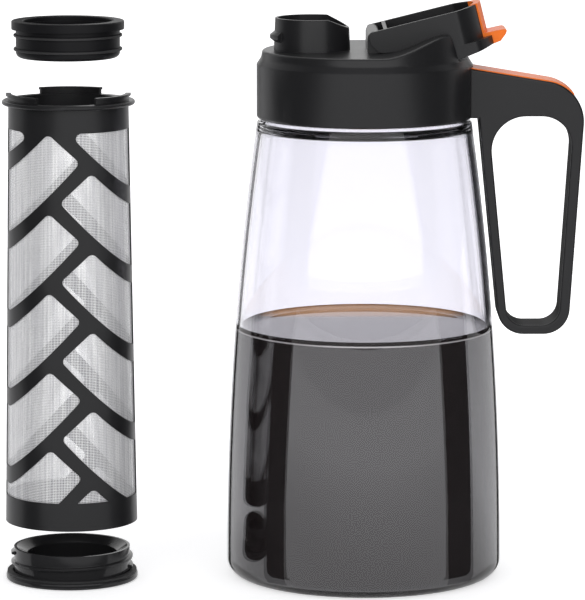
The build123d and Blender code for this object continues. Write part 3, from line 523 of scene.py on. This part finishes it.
def make_carafe():
    """The glass wall: its outside, the threaded neck, the round lip and its inside, turned."""
    segments, thread_rows = 240, 84
    lip_middle = 0.3 * neck_lip
    rim = neck_top - neck_lip
    outer_crest, inner_crest = (neck_radius - neck_lip, neck_top), (neck_bore + neck_lip, neck_top)
    profile = chained(
        outer_side(),
        straight((neck_radius, shoulder_top), (neck_radius, rim), thread_rows),
        arc_through(
            (neck_radius, rim), (neck_radius - lip_middle, neck_top - lip_middle), outer_crest, 6
        ),
        straight(outer_crest, inner_crest, 3),
        arc_through(
            inner_crest, (neck_bore + lip_middle, neck_top - lip_middle), (neck_bore, rim), 6
        ),
        straight((neck_bore, rim), (neck_bore, shoulder_top), 6),
        inner_side(0.0),
    )
    points = turned(profile, segments, swell=thread_swell)
    piece = grid_mesh("carafe_glass", points, wrap_u=True)
    piece.data.materials.append(clear_glass)
    # Light passes through clear glass, so its wall throws no dark shadow on what is inside.
    piece.visible_shadow = False
    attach(piece, "carafe_body")
    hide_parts("carafe")


# ---- Coffee --------------------------------------------------------------------------------------
def make_coffee():
    """The brew: the inside wall, 0.1 mm into the glass, and a surface that climbs at its edge.

    The surface is level - 1.8 mm + 1.8 mm x exp(-(edge - r) / 1.5 mm), at r = edge x (1 - t^2).
    """
    sink, climb, climb_width = 0.0001, 0.0018, 0.0015
    rings, segments = 60, 200
    side = inner_side(-sink)
    edge = np.interp(coffee_level, side[::-1, 1], side[::-1, 0])
    radius = edge * (1 - np.linspace(1, 0, rings) ** 2)
    height = coffee_level - climb + climb * np.exp(-(edge - radius) / climb_width)
    surface = np.stack([radius, height], axis=1)
    profile = np.concatenate([surface, side[side[:, 1] < coffee_level]])
    piece = grid_mesh("coffee_brew", turned(profile, segments), wrap_u=True, flip=True)
    piece.data.materials.append(cold_brew)
    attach(piece, "carafe_body")
    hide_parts("coffee")


# ---- Filter mesh ---------------------------------------------------------------------------------
def map_weave(piece, pitch):
    """Maps the sleeve in wires: u = turn x wires round it, v = height / pitch.

    turn is the share of a whole turn. A face that the seam crosses has shares near 0 and near 1,
    and there 1 is added to the small ones.
    """
    place = np.zeros(len(piece.data.vertices) * 3)
    piece.data.vertices.foreach_get("co", place)
    corner = np.zeros(len(piece.data.loops), int)
    piece.data.loops.foreach_get("vertex_index", corner)
    at = place.reshape(-1, 3)[corner]
    turn = np.arctan2(at[:, 1] - filter_y, at[:, 0] - filter_x) / (2 * np.pi) % 1.0
    turn, half = turn.reshape(-1, 4), 0.5
    on_seam = (turn.max(axis=1) - turn.min(axis=1) > half)[:, None]
    turn = np.where(on_seam & (turn < half), turn + 1, turn)
    wires = round(2 * np.pi * sleeve_low_radius / pitch)
    weave = np.stack([turn.reshape(-1) * wires, at[:, 2] / pitch], axis=1)
    piece.data.uv_layers.new(name="weave").data.foreach_set("uv", weave.reshape(-1))


def make_mesh_sleeve():
    """The woven sleeve: a cone's thin wall, whose two sides are joined at both ends.

    Its outside is r = tube radius at that height - 0.45 mm, and its inside is 0.2 mm smaller.
    """
    wire_pitch, thickness, inset, end_gap = 0.0007, 0.0002, 0.00045, 0.0002
    columns, rows = 180, 60
    height = np.linspace(sleeve_low.z + end_gap, sleeve_high.z - end_gap, rows)
    share = (height - sleeve_foot) / sleeve_length
    radius = sleeve_low_radius + (sleeve_high_radius - sleeve_low_radius) * share - inset
    outside = np.stack([radius, height], axis=1)
    inside = np.stack([radius[::-1] - thickness, height[::-1]], axis=1)
    points = turned(np.concatenate([outside, inside]), columns, (filter_x, filter_y))
    piece = grid_mesh("steel_mesh_sleeve", points, wrap_u=True, wrap_v=True)
    piece.data.materials.append(woven_steel)
    map_weave(piece, wire_pitch)
    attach(piece, "filter_body")
    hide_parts("filter_mesh")


make_carafe()
make_coffee()
make_mesh_sleeve()


# ---- Studio --------------------------------------------------------------------------------------
def make_floor():
    """A wide white floor that keeps a faint shadow near the object and is plain white further off.

    It is a disc of rings, x = r cos(a), y = r sin(a), 0.2 mm below the object. It adds a white of
    its own where the camera, gloss or glass shows it, never as light on the object: to the camera
    half of it under the object and all of it further off, in gloss 0.35 of it, and in glass 0.62 of
    it close in front of the object, all of it far in front and 0.88 of it behind. Glass shows no
    other colour of the floor in front than that white.
    """
    rings, segments, below = np.array([0.0, 0.6, 1.5, 4.0, 9.0]), 48, 0.0002
    spot_shift, spot_scale = (0.2, 0.0, 0.0), (3.2, 4.5, 1.0)
    shadow_reach, shadow_white = (0.35, 1.0), (0.5, 1.0)
    glass_reach, glass_white = (0.6, 2.4), (0.62, 1.0)
    front_edge, behind_white, mirrored_white = (0.1, -0.02), 0.88, 0.35
    pale, black = (0.85, 0.85, 0.86), (0.0, 0.0, 0.0)
    profile = np.stack([rings, np.full(len(rings), -below)], axis=1)
    floor = grid_mesh("studio_floor", turned(profile, segments), wrap_u=True)
    material, tree, shader = new_finish("white_floor")
    material.cycles.emission_sampling = "NONE"
    place = coordinates(tree, "Object")
    length = tree.nodes.new("ShaderNodeVectorMath")
    length.operation = "LENGTH"
    spot = stretched(tree, place, spot_scale, spot_shift)
    away = fed(tree, length, {0: spot}).outputs["Value"]
    rays = tree.nodes.new("ShaderNodeLightPath").outputs
    refracted = rays["Is Transmission Ray"]
    # Rays through glass count as glossy too, so they are taken out of the glossy ones.
    glossy = reckon(tree, "SUBTRACT", rays["Is Glossy Ray"], refracted, clamp=True)
    in_front = reckon(
        tree, "MULTIPLY", refracted, ramp(tree, along(tree, place, "Y"), *front_edge)
    )
    behind = reckon(tree, "SUBTRACT", refracted, in_front)
    past_shadow = ramp(tree, away, *shadow_reach, *shadow_white, smooth=True)
    seen = reckon(tree, "MULTIPLY", rays["Is Camera Ray"], past_shadow)
    mirrored = reckon(tree, "MULTIPLY", glossy, mirrored_white)
    in_glass = reckon(
        tree, "ADD",
        reckon(tree, "MULTIPLY", in_front, ramp(tree, away, *glass_reach, *glass_white)),
        reckon(tree, "MULTIPLY", behind, behind_white),
    )
    fed(tree, shader, {
        "Base Color": two_tone(tree, in_front, pale, black),
        "Roughness": 0.9,
        "Specular IOR Level": 0.0,
        "Emission Color": (1, 1, 1, 1),
        "Emission Strength": reckon(
            tree, "MAXIMUM", seen, reckon(tree, "MAXIMUM", mirrored, in_glass)
        ),
    })
    floor.data.materials.append(material)


def light_world():
    """Soft surroundings: white behind the object and to the camera, a dim grey elsewhere.

    The white behind comes in as the direction's y grows from 0.3 to 0.9.
    """
    grey, white, white_range = (0.3, 0.3, 0.31), (1.0, 1.0, 1.0), (0.3, 0.9)
    world = bpy.data.worlds.new("studio_world")
    bpy.context.scene.world = world
    world.use_nodes = True
    tree = world.node_tree
    behind = ramp(tree, along(tree, coordinates(tree, "Generated"), "Y"), *white_range)
    camera = tree.nodes.new("ShaderNodeLightPath").outputs["Is Camera Ray"]
    share = reckon(tree, "MAXIMUM", behind, camera)
    fed(tree, tree.nodes["Background"], {
        "Color": two_tone(tree, share, grey, white), "Strength": 1.0,
    })


def add_softbox(name, place, aim, width, height, radiance):
    """A soft rectangular lamp that faces a point; its power is radiance x pi x its area."""
    lamp = bpy.data.lights.new(name, "AREA")
    lamp.shape = "RECTANGLE"
    lamp.size, lamp.size_y = width, height
    lamp.energy = radiance * np.pi * (width * height)
    holder = add_object(name, lamp)
    holder.location = place
    face(holder, Vector(aim) - Vector(place))


def light_studio():
    """A wide front softbox and a smaller one above."""
    add_softbox("front_softbox", (0.0, -1.2, 0.93), (0.0, 0.0, 0.93), 3.4, 1.5, 1.4)
    add_softbox("top_softbox", (0.0, 0.3, 1.6), (0.0, 0.0, 0.1), 1.2, 1.2, 1.0)


def add_flags():
    """Dark cards out of view, two each side, that give the glass its dark bands and edge lines.

    A point on a card is p = r (sin a, -cos a) + d (sin 2a, -cos 2a), where r is the base's radius,
    a the angle off the front at which the glass shows it, and d how far the card stands from there.
    d grows from 2 mm to 0.25 m along the floor, and there the card turns up. A broad card's inner
    edge moves from 36 degrees at the floor to 20 higher up, one more on the right, and its outer
    edge is at 47 or 52 degrees. A narrow card runs from 77 to 81.5 degrees.
    """
    near, far, low, high = 0.002, 0.25, 0.001, 0.6
    flat_rows, upright_rows, columns = 14, 24, 30
    material, tree, shader = new_finish("dark_card")
    fed(tree, shader, {
        "Base Color": (0.06, 0.06, 0.06, 1), "Roughness": 0.9, "Specular IOR Level": 0.0,
    })
    off = np.concatenate([np.linspace(near, far, flat_rows), np.full(upright_rows, far)])[:, None]
    height = np.concatenate([
        np.full(flat_rows, low), np.linspace(low, high, upright_rows + 1)[1:]
    ])[:, None]
    lean_heights, lean_angles = [0.0, 0.105, 0.163, 0.242, 0.6], [36, 34.5, 28, 20, 20]
    leaning = np.interp(height, lean_heights, lean_angles)
    cards = (
        ("left_card", -1, leaning, 47), ("right_card", 1, leaning + 1, 52),
        ("left_edge_card", -1, 77, 81.5), ("right_edge_card", 1, 77, 81.5),
    )
    for name, side, inner, outer in cards:
        across = np.linspace(0, 1, columns)[None, :]
        turn = np.radians(inner + (outer - inner) * across) + 0 * height
        points = np.stack([
            side * (base_radius * np.sin(turn) + off * np.sin(2 * turn)),
            -base_radius * np.cos(turn) - off * np.cos(2 * turn),
            height + 0 * turn,
        ], axis=-1)
        card = grid_mesh(name, points, flip=side > 0)
        card.data.materials.append(material)
        # Only gloss and glass show the cards, and they take no light away.
        card.visible_camera = card.visible_diffuse = card.visible_shadow = False


place_camera()
make_floor()
light_world()
light_studio()
add_flags()
bpy.context.scene.view_settings.view_transform = "Standard"
